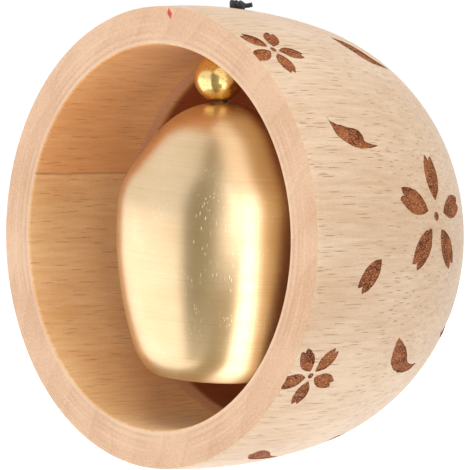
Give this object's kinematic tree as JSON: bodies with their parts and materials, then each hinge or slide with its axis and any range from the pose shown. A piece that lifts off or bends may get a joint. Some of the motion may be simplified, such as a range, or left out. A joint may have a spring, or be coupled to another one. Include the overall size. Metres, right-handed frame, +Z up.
{
  "type": "wind bell",
  "caption": "Magnetic wind bell: a turned beech shell lying on its side, with a brass bell, bead and clapper hung inside on a waxed cord.",
  "frame": {"origin": "centre of the flat back, on the face of the flush magnet", "axes": "+Z up, +Y out of the back along the shell's axis, so the mouth faces -Y"},
  "size_m": [0.0756, 0.0521, 0.0768],
  "materials": {
    "beech": "turned and sanded beech, unvarnished, with marks burnt into it",
    "magnet": "nickel-plated magnet",
    "cord": "black waxed cord",
    "polished_brass": "polished",
    "satin_brass": "satin, turned with fine lines around"
  },
  "bodies": {
    "root": {"shell": "beech", "back_magnet": "magnet", "top_knot": "cord"},
    "cord_bend": {"cord_at_ceiling": "cord"},
    "hanging_cord": {"stopper_knot": "cord"},
    "bead": {"bead": "polished_brass"},
    "bell": {"bell": "satin_brass"},
    "clapper_cord": {"cord_under_stopper": "cord"},
    "clapper": {"clapper": "satin_brass", "end_knot": "cord"}
  },
  "joints": [
    {"name": "swing_side", "type": "hinge", "parent": "root", "child": "cord_bend", "pos_m": [0, -0.03559, 0.031], "axis": [0, 1, 0], "range_deg": [-12, 12]},
    {"name": "swing_fore", "type": "hinge", "parent": "cord_bend", "child": "hanging_cord", "pos_m": [0, -0.03559, 0.031], "axis": [-1, 0, 0], "range_deg": [-12, 14]},
    {"name": "bead_spin", "type": "hinge", "parent": "hanging_cord", "child": "bead", "pos_m": [-0.00104, -0.03667, 0.0261], "axis": [0, 0, 1], "continuous": true},
    {"name": "bell_spin", "type": "hinge", "parent": "hanging_cord", "child": "bell", "pos_m": [0, -0.03559, 0], "axis": [0, 0, 1], "continuous": true},
    {"name": "clapper_turn", "type": "hinge", "parent": "hanging_cord", "child": "clapper_cord", "pos_m": [0, -0.03559, 0.01683], "axis": [0, 0, 1], "continuous": true},
    {"name": "clapper_tilt", "type": "hinge", "parent": "clapper_cord", "child": "clapper", "pos_m": [0, -0.03559, 0.01683], "axis": [0, 1, 0], "range_deg": [-18, 18]}
  ]
}
